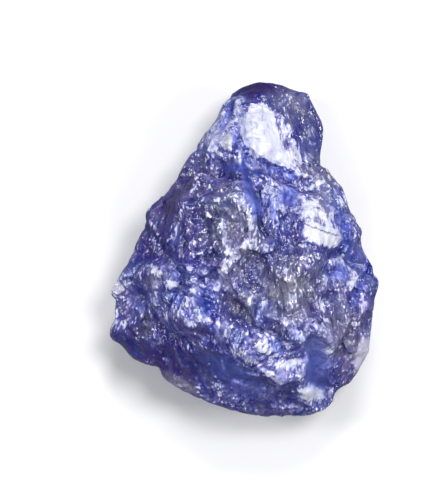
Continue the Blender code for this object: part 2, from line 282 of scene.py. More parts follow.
royalAreas = {
    "capSide": (-0.23, 7.73, 2.13, 0.67, 105, 1.1),
    "capLeft": (-1.3, 8.73, 2, 0.8, 65, 1),
    "groove": (0.03, 5.27, 1.73, 0.6, 165, 1),
    "blueStroke": (0.57, 3.8, 1.73, 0.67, 110, 1),
    "belowCap": (2.7, 2.73, 1.6, 1.47, 110, 0.7),
    "capRight": (3.77, 7.73, 1.07, 0.6, 100, 0.5),
    "rightOfLobe": (6.57, 1.4, 1.6, 0.6, 108, 1),
    "rightPocket": (6.43, -1.4, 1.07, 0.8, 30, 1),
    "rightBand": (7.63, -2.73, 1.6, 0.6, 70, 0.7),
    "leftBand": (-6.83, -3.4, 0.87, 0.47, 90, 0.9),
    "leftMiddle": (-3.57, -1.73, 1.6, 1.33, 40, 0.6),
    "toePocket": (-2.5, -3.4, 0.93, 0.8, 90, 0.9),
    "pitTeal": (1.23, -3.93, 0.6, 0.53, 0, 0.6),
    "slope": (-0.77, -8.2, 2.27, 0.87, 152, 1),
    "slopeTop": (-0.57, -6, 0.67, 0.47, 0, 0.8),
    "foot": (4.97, -7.8, 2.53, 1.07, 95, 0.9),
    "bottom": (3.1, -6.73, 1.47, 1.47, 0, 0.4),
}
violetAreas = {
    "lowerLeft": (-5.57, -7.67, 3.47, 1, 150, 0.6),
    "leftEdge": (-7.7, -5.07, 1.6, 0.67, 95, 0.6),
    "leftUpper": (-5.03, 2.27, 3.07, 0.8, 58, 0.8),
    "capTop": (0.83, 10.6, 1.47, 0.53, 5, 0.8),
    "domeTop": (-3.57, 4.73, 1.07, 0.53, 20, 0.5),
    "middle": (2.57, -1.93, 1.2, 0.8, 0, 0.8),
    "centre": (-0.23, 0.27, 1.07, 0.67, 60, 0.5),
    "rightLow": (7.23, -6.4, 2.67, 0.87, 75, 0.9),
    "rightMiddle": (4.97, -3.73, 1.33, 0.8, 90, 0.5),
}
smokyAreas = {
    "lowerRight": (6.57, -5.73, 2.27, 1.33, 100, 0.8),
    "middle": (2.97, -2.87, 2.27, 1.73, 60, 1.2),
    "centre": (-0.1, -0.6, 2.27, 0.93, 60, 0.7),
    "capRight": (3.5, 9.4, 1.73, 1, 130, 0.6),
    "leftUpper": (-3.9, 3.93, 2.93, 1.33, 55, 0.4),
    "dome": (-1.03, 1.8, 2.4, 1.73, 100, 0.75),
    "lowerLeft": (-5.03, -8.73, 2, 0.4, 155, 0.4),
    "pit": (0.03, -3.8, 0.93, 1.33, 60, 0.8),
    "leftBrown": (-6.5, -5.13, 0.93, 0.53, 80, 0.8),
    "leftCluster": (-6.03, -2, 0.6, 0.47, 60, 0.8),
    "capLow": (4.97, 5.13, 1.2, 0.8, 140, 0.8),
    "lowRim": (-4.23, -9, 1.2, 0.4, 155, 0.6),
    "lobe": (4.83, 2.47, 1.07, 0.8, 70, 0.7),
}
# strokes of frosty haze, partly painted light, with more painted glints in them
hazeAndGlintStrokes = {
    "capTail": (0.16, 1.1, (2.9, 6.07), (3.23, 5.47), (3.57, 5.13), (4.1, 5)),
    "capTailUpper": (0.2, 0.5, (2.7, 7.93), (3.23, 6.93), (3.7, 6.07)),
    "capLeftFoot": (0.16, 0.95, (-1.63, 6.53), (-1.37, 6.27), (-0.9, 6.13)),
    "capLeftStreak": (0.12, 0.7, (-1.17, 9.87), (-1.23, 9.07)),
    "capRightStroke": (0.11, 0.85, (4.37, 5.4), (4.83, 5)),
    "underCapStroke": (0.1, 0.85, (2.63, 5.07), (3.3, 4.67)),
    "underCapDown": (0.17, 0.85, (1.83, 5.27), (2.37, 4.4)),
    "underCapDash": (0.11, 0.9, (1.37, 5.13), (1.83, 5.2)),
    "brightLine": (0.07, 1.3, (4.3, 4), (4.63, 4.2), (4.9, 4.47), (5.3, 4.47)),
    "thinLine": (0.05, 0.9, (1.83, 3.4), (2.3, 3.13), (2.7, 2.8)),
    "domeLedge": (0.1, 1, (-4.1, 4.8), (-3.5, 5)),
    "domeDashOne": (0.12, 0.85, (-3.57, 3.53), (-3.23, 4.2)),
    "domeDashTwo": (0.12, 0.85, (-2.9, 3.8), (-2.7, 3.27)),
    "domeDashThree": (0.11, 0.85, (-2.57, 2.4), (-2.3, 1.87)),
    "domeDashFour": (0.09, 0.85, (-4.3, 1.93), (-4.5, 1.27)),
    "leftDash": (0.12, 0.7, (-5.57, 0), (-5.23, -0.47)),
    "middleStreak": (0.27, 0.95, (-0.03, 2.93), (0.3, 2.13), (0.43, 1.27)),
    "middleStreakLow": (0.17, 0.6, (0.43, 1.13), (0.83, 0.13)),
    "secondStreak": (0.15, 1, (-1.43, 2.13), (-1.3, 1), (-1.1, -0.13)),
    "lowerStreak": (0.2, 1.2, (0.23, 0.4), (-0.43, -0.07), (-0.7, -0.6), (-1.17, -1.07),
        (-1.5, -1.87), (-1.83, -2.67)),
    "knobArc": (0.07, 0.8, (-8.3, -2.27), (-8.03, -2.73)),
    "toeStroke": (0.13, 0.9, (-4.03, -3.07), (-3.57, -3.33), (-3.17, -3.87), (-2.97, -4.27)),
    "greyStroke": (0.16, 0.72, (0.7, -2.87), (0.43, -3.4), (0.17, -3.93)),
    "pitStroke": (0.12, 0.78, (0.83, -4.6), (1.17, -4), (1.57, -3.53)),
    "greyArc": (0.11, 0.7, (2.83, -2.2), (3.23, -1.87), (3.57, -2.53)),
    "greyDown": (0.15, 0.75, (2.7, -4.73), (3.3, -5.27), (3.97, -5.93)),
    "bottomRidge": (0.24, 1, (-0.7, -6.67), (-0.17, -6.93), (0.37, -7.4)),
    "bottomRidgeTop": (0.16, 0.9, (-0.23, -6.47), (0.43, -6.6)),
    "bottomStroke": (0.17, 1, (0.9, -6.73), (0.9, -7.47), (1.3, -8), (1.97, -8.53)),
    "footEdge": (0.11, 0.78, (4.57, -5.67), (4.37, -6.6), (4.1, -7.4), (3.83, -8.2),
        (3.77, -9.13)),
    "lowStreak": (0.13, 0.62, (1.7, -6.07), (2.37, -6.93)),
    "lowDots": (0.09, 0.8, (5.5, -9.2), (5.97, -9.33)),
    "slopeDash": (0.08, 1.1, (-0.63, -8.8), (-0.1, -9)),
    "slopeDashTwo": (0.08, 1, (-0.97, -6.73), (-0.5, -7.2)),
    "slopeDashThree": (0.07, 0.9, (0.23, -8.2), (0.97, -8.47)),
    "lowerArc": (0.08, 1.1, (-2.57, -8.07), (-2.63, -8.8), (-2.37, -9.27), (-1.83, -9.07)),
    "lowerSpecks": (0.12, 1.1, (-5.3, -7.27), (-4.77, -7.4)),
    "lowerDash": (0.07, 0.9, (-1.5, -7.4), (-1.3, -8)),
    "leftLowDash": (0.08, 1.1, (-7.03, -5.07), (-7.03, -5.8), (-6.63, -5.93)),
}
# clear windows in deep blue, turning to a paler copy in painted light where their tone is bright
windowStrokes = {
    "blueStroke": (0.33, 0.95, (0.23, 5.93), (0.17, 5.07), (0.3, 4.07), (0.57, 3.33),
        (0.97, 2.4)),
    "capUnder": (0.27, 0.75, (-1.17, 5.4), (0.1, 5.4), (1.23, 5.73), (2.17, 5.27), (3.23, 4.87)),
    "rightBand": (0.31, 0.8, (8.37, -1.13), (7.9, -2.2), (7.57, -3.07), (7.37, -3.8)),
    "capLeftBlue": (0.21, 0.85, (-0.77, 9.67), (-1.17, 8.73), (-1.43, 8.07)),
}
creases = {
    "lobeCrack": (0.04, 0.95, (3.7, 1.93), (4.37, 1.53), (4.97, 1.33), (5.57, 1.07), (6.3, 0.93)),
    "aboveLobe": (0.04, 0.6, (3.63, 3.87), (4.1, 3.73), (4.77, 3.73)),
    "capScratch": (0.03, 0.5, (1.23, 9.67), (1.3, 9.13), (1.23, 8.47)),
    "capScratchTwo": (0.03, 0.5, (0.43, 8.73), (0.57, 7.93)),
    "capScratchThree": (0.03, 0.5, (1.23, 8.07), (1.37, 7.67)),
    "lobeFine": (0.03, 0.5, (4.97, 2.67), (4.9, 2.07)),
}
# white frost, partly a painted highlight where the surface faces the lights
frostAndHighlightShapes = {
    "capBright": (1.1, (0.43, 9.67), (1.23, 9.8), (1.7, 9.33), (2.03, 8.67), (2.3, 7.87),
        (2.57, 7.13), (2.97, 6.47), (3.43, 6), (3.63, 5.53), (3.23, 5.33), (2.63, 5.4),
        (1.9, 5.6), (1.5, 6), (0.83, 6.07), (0.37, 6.2), (0.17, 6.73), (-0.03, 7.2),
        (-0.3, 7.87), (0.03, 8.33), (0.23, 9)),
    "capBrightSide": (0.57, (1.23, 9.87), (2.43, 9.27), (3.03, 8.47), (3.5, 7.53), (3.97, 6.4),
        (4.03, 5.67), (3.63, 5.4), (2.97, 6.07), (2.37, 6.93), (1.9, 7.93), (1.5, 9.07)),
    "brightLine": (1.25, (4.17, 4), (4.57, 4.17), (4.9, 4.43), (5.37, 4.53), (5.37, 4.4),
        (4.9, 4.23), (4.57, 3.97), (4.23, 3.87)),
    "lobeUpper": (0.56, (3.9, 3.4), (4.5, 3.73), (5.1, 3.6), (5.23, 2.93), (5.57, 2.73),
        (6.03, 2.47), (6.43, 1.8), (6.63, 0.73), (5.5, 0.8), (4.97, 1), (4.37, 1.2), (3.7, 2.07),
        (3.43, 2.8)),
    "lobeLow": (1, (4.03, 1.8), (4.97, 1.67), (5.77, 1.47), (6.5, 1.2), (6.77, 0.53),
        (6.3, 0.07), (5.5, 0.07), (4.97, 0.4), (4.37, 0.47), (3.97, 1)),
    "capLeft": (0.85, (-1.03, 7.93), (-0.7, 7.33), (-0.77, 6.67), (-1.17, 6.47), (-1.57, 6.8),
        (-1.37, 7.33)),
    "splinterUpper": (0.8, (0.1, -3.87), (0.3, -3.4), (0.63, -2.93), (0.77, -3.13),
        (0.43, -3.73)),
    "splinterLower": (0.75, (0.83, -4.33), (1.23, -3.87), (1.63, -3.47), (1.77, -3.6),
        (1.37, -4.07), (0.97, -4.47)),
    "pitPatch": (0.55, (-0.37, -2.8), (0.03, -2.6), (0.23, -2.87), (-0.03, -3.33), (-0.3, -3.4)),
    "knob": (0.9, (-8.5, -2.53), (-8.23, -2.4), (-8.03, -2.67), (-8.1, -3), (-8.37, -3.07)),
    "leftTriangle": (1, (-5.03, -2.07), (-4.23, -2.07), (-4.77, -2.8)),
    "smallTriangle": (0.9, (-2.97, -0.13), (-2.7, -0.73), (-2.37, -1.07), (-2.97, -1.07)),
    "footLow": (0.9, (3.97, -9.13), (4.57, -9), (5.23, -9.47), (5.5, -10), (3.83, -10.13)),
    "leftSpot": (0.7, (-6.23, -0.93), (-5.83, -1), (-5.43, -1.53), (-5.37, -1.93), (-5.77, -2),
        (-6.17, -1.67)),
    "toePatch": (0.6, (-2.63, -4.4), (-2.23, -4.47), (-1.83, -4.8), (-1.83, -5.13),
        (-2.37, -5.07), (-2.7, -4.73)),
    "bottomLens": (0.9, (2.43, -7.8), (2.83, -7.47), (3.37, -7.27), (3.97, -7.4), (3.9, -7.8),
        (3.37, -7.73), (2.97, -8.07)),
    "greyBlade": (0.8, (5.1, -2.87), (5.43, -3.4), (5.5, -4), (5.3, -4.87), (5.17, -4.2),
        (4.9, -3.93), (4.9, -3.4)),
    "centrePatch": (0.35, (1.63, 0.33), (2.17, 0.53), (2.57, 0.07), (2.7, -0.53), (2.23, -0.4),
        (1.77, -0.07)),
    "rightSpot": (0.8, (6.97, -2.13), (7.3, -1.73), (7.63, -1.87), (7.57, -2.33), (7.3, -2.67),
        (6.97, -2.53)),
}
windowShapes = {
    "capSide": (1, (-0.63, 7.87), (-0.23, 7.13), (0.37, 6.6), (-0.03, 6.4), (-0.57, 6.67),
        (-0.77, 7.27)),
    "underCap": (0.9, (2.3, 3.93), (3.1, 4.2), (3.57, 3.93), (3.43, 2.93), (2.97, 2.8),
        (2.43, 3.2)),
    "pitTeal": (0.6, (0.77, -3.4), (1.63, -3.13), (2.43, -3.73), (2.7, -4.67), (1.9, -5.27),
        (0.97, -5.07), (0.43, -4.33)),
    "ridgeBlue": (0.65, (1.7, -6.13), (2.23, -5.93), (2.63, -6.47), (2.5, -7.2), (2.03, -7)),
    "ridgeBlueTwo": (0.55, (3.03, -5.47), (3.5, -5.33), (3.83, -5.8), (3.57, -6.13),
        (3.1, -5.93)),
    "bluePocket": (0.8, (1.7, 3.4), (2.17, 3.07), (2.17, 2.27), (1.7, 2)),
    "rightOfLobe": (0.9, (6.1, 2.8), (6.57, 2.67), (7.1, 1.6), (7.3, 0.53), (6.83, -0.13),
        (6.3, 0), (6.5, 0.73), (6.3, 1.67)),
    "rightPocket": (0.95, (5.9, -1.13), (6.43, -0.93), (6.97, -1.4), (6.83, -2.07), (6.1, -1.93)),
    "toePocket": (0.9, (-2.9, -2.53), (-2.23, -2.8), (-1.9, -3.4), (-1.9, -4.4), (-2.63, -4.27),
        (-3.1, -3.27)),
    "kneePocket": (0.7, (-4.97, -2.8), (-4.23, -2.87), (-3.9, -3.4), (-4.5, -3.87),
        (-4.97, -3.47)),
    "slope": (0.6, (-2.57, -6.87), (-1.03, -6.87), (-0.17, -7.53), (0.83, -8.33), (1.37, -9.33),
        (-0.23, -9.6), (-1.3, -9.07), (-2.17, -8)),
    "foot": (0.66, (4.83, -5.87), (5.1, -6), (5.63, -6.87), (6.23, -7.8), (5.83, -8.27),
        (5.57, -9.2), (4.03, -9.27), (3.9, -8.27), (4.37, -7.2)),
    "kneeLeft": (0.5, (-6.9, -2.27), (-6.3, -2.4), (-6.3, -4.2), (-6.83, -4.2)),
}
# painted light: pale rims where light shines through the thin edge
paintedRimLights = {
    "right": (0.8, (7.83, -5.87), (8.43, -6), (8.57, -6.87), (8.17, -7.6), (7.57, -8.4),
        (7.37, -7.6), (7.57, -6.6)),
    "lowerLeft": (0.45, (-5.3, -8.13), (-4.5, -8.47), (-3.57, -9), (-2.97, -9.8), (-3.7, -9.6),
        (-4.77, -9.27)),
}


def ease(x):
    x = np.clip(x, 0, 1)
    return x * x * (3 - 2 * x)


def fade(values, start, full):
    return ease((values - start) / (full - start))


def wander(points, size, amount, shift):
    offset = Vector((shift, 2.3 * shift, 3.1 * shift))
    pushed = [noise.noise_vector(Vector(p) / size + offset) for p in points]
    return points + amount * np.array(pushed)


def asSeen(points):
    # where the camera sees each point on the widest level
    aim = np.array(cameraSetup["aim"]) / mm
    high, level = cameraSetup["lensHeight"] / mm, cameraSetup["widestLevel"] / mm
    return aim + (points[:, :2] - aim) * ((high - level) / (high - points[:, 2]))[:, None]


def facingUp(normals):
    # 1 on all that the camera sees, down to 0 where the surface turns under
    return fade(normals[:, 2], *stoneSurface["seen"])


def ovalMask(flat, ovals, soft=0.45):
    made = np.zeros(len(flat))
    for x, y, longRadius, shortRadius, turn, strength in ovals.values():
        angle = math.radians(turn)
        dx, dy = flat[:, 0] - x, flat[:, 1] - y
        along = (dx * math.cos(angle) + dy * math.sin(angle)) / longRadius
        across = (dy * math.cos(angle) - dx * math.sin(angle)) / shortRadius
        inside = ease((1 + soft - np.hypot(along, across)) / (2 * soft))
        made = np.maximum(made, strength * inside)
    return made


def lineDistance(flat, start, end):
    way = np.subtract(end, start)
    part = np.clip((flat - start) @ way / (way @ way), 0, 1)
    return np.linalg.norm(flat - start - part[:, None] * way, axis=1)


def strokeMask(flat, strokes, soft=0.5):
    made = np.zeros(len(flat))
    for halfWidth, strength, *path in strokes.values():
        away = np.min([lineDistance(flat, *piece) for piece in zip(path, path[1:])], axis=0)
        made = np.maximum(made, strength * ease((1 + soft - away / halfWidth) / (2 * soft)))
    return made


def shapeMask(flat, shapes, soft):
    # 1 inside the corners and 0 outside, blended over a strip soft mm to each side
    made = np.zeros(len(flat))
    for strength, *corners in shapes.values():
        inside = np.zeros(len(flat), bool)
        away = np.full(len(flat), np.inf)
        for start, end in zip(corners, corners[1:] + corners[:1]):
            away = np.minimum(away, lineDistance(flat, start, end))
            between = (flat[:, 1] < start[1]) != (flat[:, 1] < end[1])
            rise = (end[1] - start[1]) or 1
            edgeX = start[0] + (flat[:, 1] - start[1]) * (end[0] - start[0]) / rise
            inside ^= between & (flat[:, 0] < edgeX)
        made = np.maximum(made, strength * ease(0.5 + np.where(inside, away, -away) / (2 * soft)))
    return made


def chipHeights(points, size, curve, lean, stretch, turn, seed):
    # chips round the points of a jittered grid, each a leaning shallow bowl; the lowest wins
    pick = np.random.default_rng(seed)
    angle = math.radians(turn)
    grainAxis = np.array([math.cos(angle), math.sin(angle), 0])
    squeezed = points - np.outer(points @ grainAxis, grainAxis) * (1 - 1 / stretch)
    squeezed = squeezed / size
    low = np.floor(squeezed.min(0)).astype(int) - 1
    cell = np.floor(squeezed).astype(int) - low
    cells = cell.max(0) + 2
    jitter = pick.uniform(0.1, 0.9, (*cells, 3))     # off the walls of the grid's cells
    slope = pick.normal(0, lean, (*cells, 3)) * size
    sink = pick.uniform(0, 0.5 * lean * size, cells)
    height = np.full(len(points), np.inf)
    for step in itertools.product((-1, 0, 1), repeat=3):
        near = cell + step
        i, j, k = near.T
        away = squeezed - (near + low + jitter[i, j, k])
        bowl = curve * (away**2).sum(1) + (away * slope[i, j, k]).sum(1) - sink[i, j, k]
        height = np.minimum(height, bowl)
    return np.clip(height - np.median(height), -lean * size, lean * size)


def readVectors(items, name):
    values = np.empty(len(items) * 3)
    items.foreach_get(name, values)
    return values.reshape(-1, 3)


def pointsAndNormals(mesh):
    return readVectors(mesh.vertices, "co"), readVectors(mesh.vertex_normals, "vector")


def movePoints(mesh, points):
    mesh.vertices.foreach_set("co", points.ravel())
    mesh.update()


def applied(source, name):
    # a new object with the source's modifiers applied, in its place
    bpy.context.view_layer.update()
    graph = bpy.context.evaluated_depsgraph_get()
    mesh = bpy.data.meshes.new_from_object(source.evaluated_get(graph))
    bpy.data.objects.remove(source)
    made = bpy.data.objects.new(name, mesh)
    bpy.context.scene.collection.objects.link(made)
    return made


def fineCopy():
    # the solid in mm, on an even fine grid, with its big facets smoothed away
    welded = bmesh.new()
    welded.from_mesh(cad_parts["sapphire"].data)
    bmesh.ops.remove_doubles(welded, verts=welded.verts, dist=stoneSurface["weldGap"] * mm)
    bmesh.ops.scale(welded, verts=welded.verts, vec=(1 / mm,) * 3)
    mesh = bpy.data.meshes.new("blank")
    welded.to_mesh(mesh)
    welded.free()
    blank = bpy.data.objects.new("blank", mesh)
    bpy.context.scene.collection.objects.link(blank)
    grid = blank.modifiers.new("grid", "REMESH")
    grid.mode = "VOXEL"
    grid.voxel_size = stoneSurface["voxel"]
    rub = blank.modifiers.new("rub", "SMOOTH")
    rub.factor = stoneSurface["smoothFactor"]
    rub.iterations = stoneSurface["smoothPasses"]
    return applied(blank, "fineBlank")


def calmness(points, normals):
    # 1 where the surface is smooth: the placed areas, and in part the upright sides
    flat = asSeen(wander(points, **stoneSurface["calmWander"]))
    placed = ovalMask(flat, calmAreas) * facingUp(normals)
    upright = fade(np.abs(normals[:, 2]), *stoneSurface["upright"])
    return np.maximum(placed, stoneSurface["calmSides"] * upright)


def carveChips(mesh):
    points, normals = pointsAndNormals(mesh)
    calm = calmness(points, normals)
    least = stoneSurface["rimShare"]
    lying = fade(np.abs(normals[:, 2]), *stoneSurface["lying"])
    share = fade(points[:, 2], *stoneSurface["restFade"]) * (least + (1 - least) * lying)
    bend = stoneSurface["chipBend"]
    warpSize, warpAmount = stoneSurface["chipWarp"]
    relief = np.zeros(len(points))
    for name, chip in stoneSurface["chips"].items():
        size, seed = chip["size"], chip["seed"]
        moved = wander(points, bend["size"], bend["amount"], seed + bend["shift"])
        moved = wander(moved, size * warpSize, size * warpAmount, seed)
        height = chipHeights(moved, **chip)
        relief += height * (1 - stoneSurface["calmLoss"] * calm)
        print("  carved", name, "%.3f mm deep" % -np.quantile(height, 0.05))
    cracks = strokeMask(asSeen(points), creases) * facingUp(normals)
    relief -= stoneSurface["creaseDepth"] * cracks
    points += normals * (relief * share)[:, None]
    points[:, 2] = np.maximum(points[:, 2], 0)
    movePoints(mesh, points)


def evened(mesh, values, passes):
    # the values of each point averaged with its neighbours', a number of times
    ends = np.empty(len(mesh.edges) * 2, int)
    mesh.edges.foreach_get("vertices", ends)
    a, b = ends.reshape(-1, 2).T
    links = np.bincount(a, minlength=len(values)) + np.bincount(b, minlength=len(values))
    even = values.copy()
    for _ in range(passes):
        sums = even.copy()
        for axis in range(3):
            sums[:, axis] += np.bincount(a, even[b, axis], len(values))
            sums[:, axis] += np.bincount(b, even[a, axis], len(values))
        even = sums / (links + 1)[:, None]
    return even


def markZones(mesh):
    # masks that the material reads, one value to a point
    points, normals = pointsAndNormals(mesh)
    moved = wander(points, **stoneSurface["edgeWander"])
    flat = asSeen(wander(moved, **stoneSurface["edgeWanderFine"]))
    upper = facingUp(normals)
    patches = ovalMask(flat, hazeAndGlintPatches, soft=0.7)
    foil = np.maximum(patches, strokeMask(flat, hazeAndGlintStrokes, soft=0.6))
    window = np.maximum(shapeMask(flat, windowShapes, soft=0.2), strokeMask(flat, windowStrokes))
    frostLeft = 1 - stoneSurface["frostCut"] * window
    least = stoneSurface["sideGlints"]
    masks = {
        # white frost, partly a painted highlight
        "frostAndHighlight": shapeMask(flat, frostAndHighlightShapes, soft=0.4) * upper * frostLeft,
        # frosty haze, partly painted light, with more painted glints
        "foil": foil * upper,
        "window": window * upper,
        # darker: partly the body's deep colour, partly painted shade
        "deep": ovalMask(flat, deepAndShadedAreas, soft=0.6) * upper,
        "smoky": ovalMask(flat, smokyAreas, soft=0.8) * upper,
        "royal": ovalMask(flat, royalAreas, soft=0.8) * upper,
        "violet": ovalMask(flat, violetAreas, soft=0.8) * upper,
        # painted light through the thin rim
        "paintedRimLight": shapeMask(flat, paintedRimLights, soft=0.2) * upper,
        "crease": strokeMask(flat, creases) * upper,
        "calm": calmness(points, normals),
        # fewer painted glints on the upright sides
        "open": least + (1 - least) * fade(normals[:, 2], *stoneSurface["open"]),
    }
    # lighter on edges and lumps, darker in hollows: partly frost, partly painted light and painted
    # shade
    for name, passes in stoneSurface["levels"].items():
        height = ((points - evened(mesh, points, passes)) * normals).sum(1)
        masks[name] = 0.5 + height / (4 * height.std())
    # painted light and shade: points turned toward the light lighter, those turned away darker
    broadNormals = evened(mesh, normals, stoneSurface["litPasses"])
    turned = (normals - broadNormals) @ np.array(stoneSurface["litFrom"])
    masks["lit"] = np.clip(0.5 + turned / (4 * turned.std()), -0.1, 1.1)
    for name, values in masks.items():
        layer = mesh.attributes.new(name, "FLOAT", "POINT")
        layer.data.foreach_set("value", values.astype(np.float32))
        print("  marked", name)


def makeStone():
    fine = fineCopy()
    print("fine grid of", len(fine.data.vertices), "points")
    carveChips(fine.data)
    thin = fine.modifiers.new("thin", "DECIMATE")
    triangles = sum(len(face.vertices) - 2 for face in fine.data.polygons)
    thin.ratio = min(1, stoneSurface["mostTriangles"] / triangles)
    stone = applied(fine, "roughSapphire")
    markZones(stone.data)
    movePoints(stone.data, readVectors(stone.data.vertices, "co") * mm)
    stone.data.shade_smooth()
    stone.data.materials.clear()
    stone.data.materials.append(sapphireMaterial())
    print("stone of", len(stone.data.polygons), "faces")
    return stone


# the material: violet-blue crystal with clear windows, smoky parts, frost and glinting chips, and
# painted light, shade and glints
sapphireLook = {
    # one tone, from dark hollows in painted shade over the blue body to white frost and painted
    # highlights
    "tones": (
        (0.12, (0.018, 0.012, 0.100)),
        (0.36, (0.051, 0.048, 0.288)),
        (0.54, (0.099, 0.101, 0.440)),
        (0.70, (0.220, 0.225, 0.640)),
        (0.88, (0.560, 0.570, 0.840)),
        (1.00, (0.700, 0.710, 0.840)),
    ),
    "middleTone": 0.562,
    # what moves the tone up or down, among it painted light, painted shade and painted glints
    "cloudTone": 0.31,
    "strandTone": 0.05,
    "litTone": 0.12,          # painted light and shade: the sides of lumps and chips that face the light lighter
    "edgeTone": 0.027,        # chip edges lighter than their hollows: partly frost, partly painted light and shade
    "raisedTone": 0.063,      # small lumps lighter, hollows darker: partly frost, partly painted light and shade
    "swellTone": 0.08,        # painted light on large lumps, painted shade in the hollows between them
    # painted glints in short dashes
    "glintDashTone": 0.12,
    "glintDashPick": (0.60, 0.68), # values of their noise between which they start to show
    # white frost, partly a painted highlight, torn and streaked at its edge
    "frostAndHighlightTone": 0.44,
    "frostEdge": (0.40, 0.70),
    "frostTear": 1.1,         # how far streaks eat into its edge
    "frostStreak": 1.2,
    "foilTone": 0.17,         # the frosty haze of the patches and strokes, partly painted light
    "foilGlints": 0.38,       # more painted glints in it
    "clusterPick": (0.47, 0.60),
    "ridgeGlints": (0.35, 0.70, 0.20, 1.50),   # painted glints, from 0.2 times in hollows to 1.5 times on ridges
    "glintSide": (-0.15, 0.25),                # the part of a cell that gets a painted glint
    "glintEdge": 0.02,
    # darker in deep areas: partly the body's own colour, partly painted shade
    "deepAndShadeTone": 0.18,
    "calmShare": 0.55,        # of the contrast of the texture, painted shade and painted glints left on the smooth areas
    "calmLean": 0.35,         # of the facets' lean left there
    "windowGlints": 0.25,     # of the painted glints left in windows
    # small broken faces, in cells of two sizes, with painted shade across each cell and painted
    # glints on some: scale in 1/mm, and the rest as shares
    "chips": {
        "scale": 3.0, "stretch": 0.5, "warp": 0.20, "tone": 0.06, "shade": 0.04,
        "lean": 0.50, "curve": -0.50, "glints": 0.18, "glintTone": 0.32,
    },
    "grit": {
        "scale": 6.0, "stretch": 0.5, "warp": 0.11, "tone": 0.03, "shade": 0.03,
        "lean": 0.35, "curve": -0.40, "glints": 0.27, "glintTone": 0.36,
    },
    # noise: scale in 1/mm, and stretch below 1 draws it out along the grain
    "broad": {"scale": 0.5, "detail": 2, "roughness": 0.5},
    "tints": {"scale": 1.6, "detail": 2, "roughness": 0.6, "stretch": 0.6},
    "clouds": {"scale": 1.2, "detail": 2, "roughness": 0.5, "stretch": 0.7},
    "strands": {"scale": 3.2, "detail": 4, "roughness": 0.7, "stretch": 0.26},
    "fine": {"scale": 5.0, "detail": 3, "roughness": 0.6, "stretch": 0.5},
    "streaks": {"scale": 3.0, "detail": 4, "roughness": 0.72, "stretch": 0.28, "turn": 114},
    "glintDashes": {"scale": 2.3, "detail": 4, "roughness": 0.7, "stretch": 0.32},
    "clusters": {"scale": 0.8, "detail": 2, "roughness": 0.6},
    "grainTurn": 108,         # degrees
    "grainBend": 3.0,         # mm, how far the grain's direction wanders
    "bendScale": 0.16,
    # colours over the tone
    "window": (0.036, 0.070, 0.540),
    "paintedWindowLight": (0.155, 0.215, 0.780),       # painted light: the window's paler copy, where it is lit
    "windowTones": (0.50, 0.95),               # from the one to the other
    "windowCover": 0.62,
    "royal": (0.050, 0.085, 0.560),
    "royalCover": 0.30,
    "royalHue": -0.010,
    "violetHue": 0.018,
    # painted light: the pale colour of a rim that light shines through
    "paintedRimLight": (0.60, 0.57, 0.68),
    "crease": (0.035, 0.03, 0.08),
    "saturation": 1.05,
    "smokyGrey": 0.48,        # loss of saturation
    "deepSaturation": 0.05,
    "saturationDrift": 0.9,
    "hueDrift": 0.04,
    "tintDrift": 0.08,        # the same in small patches
    # clear crystal under the surface
    "refraction": 1.77,
    "shine": 0.62,            # specular level
    "clearness": 0.50,
    "frostClearness": 0.06,
    "coverTones": (0.55, 0.90),                # from clear to frosty
    "windowMilk": 0.09,       # how much frostier a window or a rim of painted light is than its tone
    "rimMilk": 0.30,
    "absorption": (0.14, 0.18, 0.88),
    "absorptionPerMetre": 220,
    # gloss and the finest relief
    "roughness": (0.10, 0.24),
    "calmRoughness": 0.22,    # more on calm areas
    "frostRoughness": 0.12,   # and on frost
    "bump": 0.5,
    "bumpHeight": 0.04,       # mm
}


